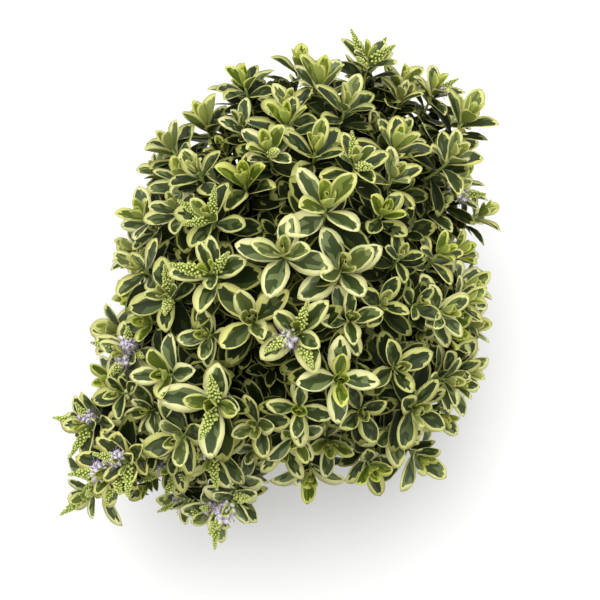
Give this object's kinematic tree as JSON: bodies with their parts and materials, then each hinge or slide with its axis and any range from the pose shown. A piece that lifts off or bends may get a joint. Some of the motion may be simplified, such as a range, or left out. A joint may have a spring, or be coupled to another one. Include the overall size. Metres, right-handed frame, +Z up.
{
  "type": "potted hebe shrub",
  "caption": "Low bushy evergreen shrub with cream-edged leaves in crossed pairs and pale flower spikes, on a short branching stem in a plain round nursery pot.",
  "frame": {"origin": "centre of the pot's flat underside", "axes": "+Z up along the pot's axis, +Y towards the back of the crown, +X to its right as seen from the front"},
  "size_m": [0.3548, 0.427, 0.3331],
  "materials": {
    "pot_plastic": "dull black moulded nursery plastic",
    "potting_soil": "crumbly dark compost",
    "bark": "thin dull grey-brown bark",
    "foliage": "leathery green leaves with cream edges, satin"
  },
  "bodies": {
    "root": {"pot": "pot_plastic", "soil": "potting_soil", "trunk": "bark", "limb_right": "bark", "limb_back_right_low": "bark", "limb_back_right": "bark", "limb_back": "bark", "limb_back_left": "bark", "limb_left_back_low": "bark", "limb_left_back": "bark", "limb_left": "bark", "limb_left_front": "bark", "limb_front_left_far": "bark", "limb_front_left": "bark", "limb_front": "bark", "limb_front_right": "bark", "limb_right_front": "bark", "limb_right_low": "bark", "foliage_right": "foliage", "foliage_top_right": "foliage", "foliage_back_right_low": "foliage", "foliage_top_back_right": "foliage", "foliage_back_right": "foliage", "foliage_upper_back_right": "foliage", "foliage_back": "foliage", "foliage_upper_back": "foliage", "foliage_back_left": "foliage", "foliage_top_back": "foliage", "foliage_left_back_low": "foliage", "foliage_top_back_left": "foliage", "foliage_left_back": "foliage", "foliage_upper_left_back": "foliage", "foliage_left": "foliage", "foliage_upper_left": "foliage", "foliage_left_front": "foliage", "foliage_top_left": "foliage", "foliage_front_left_far": "foliage", "foliage_upper_front_left": "foliage", "foliage_front_left": "foliage", "foliage_upper_front": "foliage", "foliage_front": "foliage", "foliage_top_front": "foliage", "foliage_front_right": "foliage", "foliage_upper_front_right": "foliage", "foliage_right_front": "foliage", "foliage_top": "foliage", "foliage_right_low": "foliage", "foliage_upper_right": "foliage"}
  },
  "joints": []
}
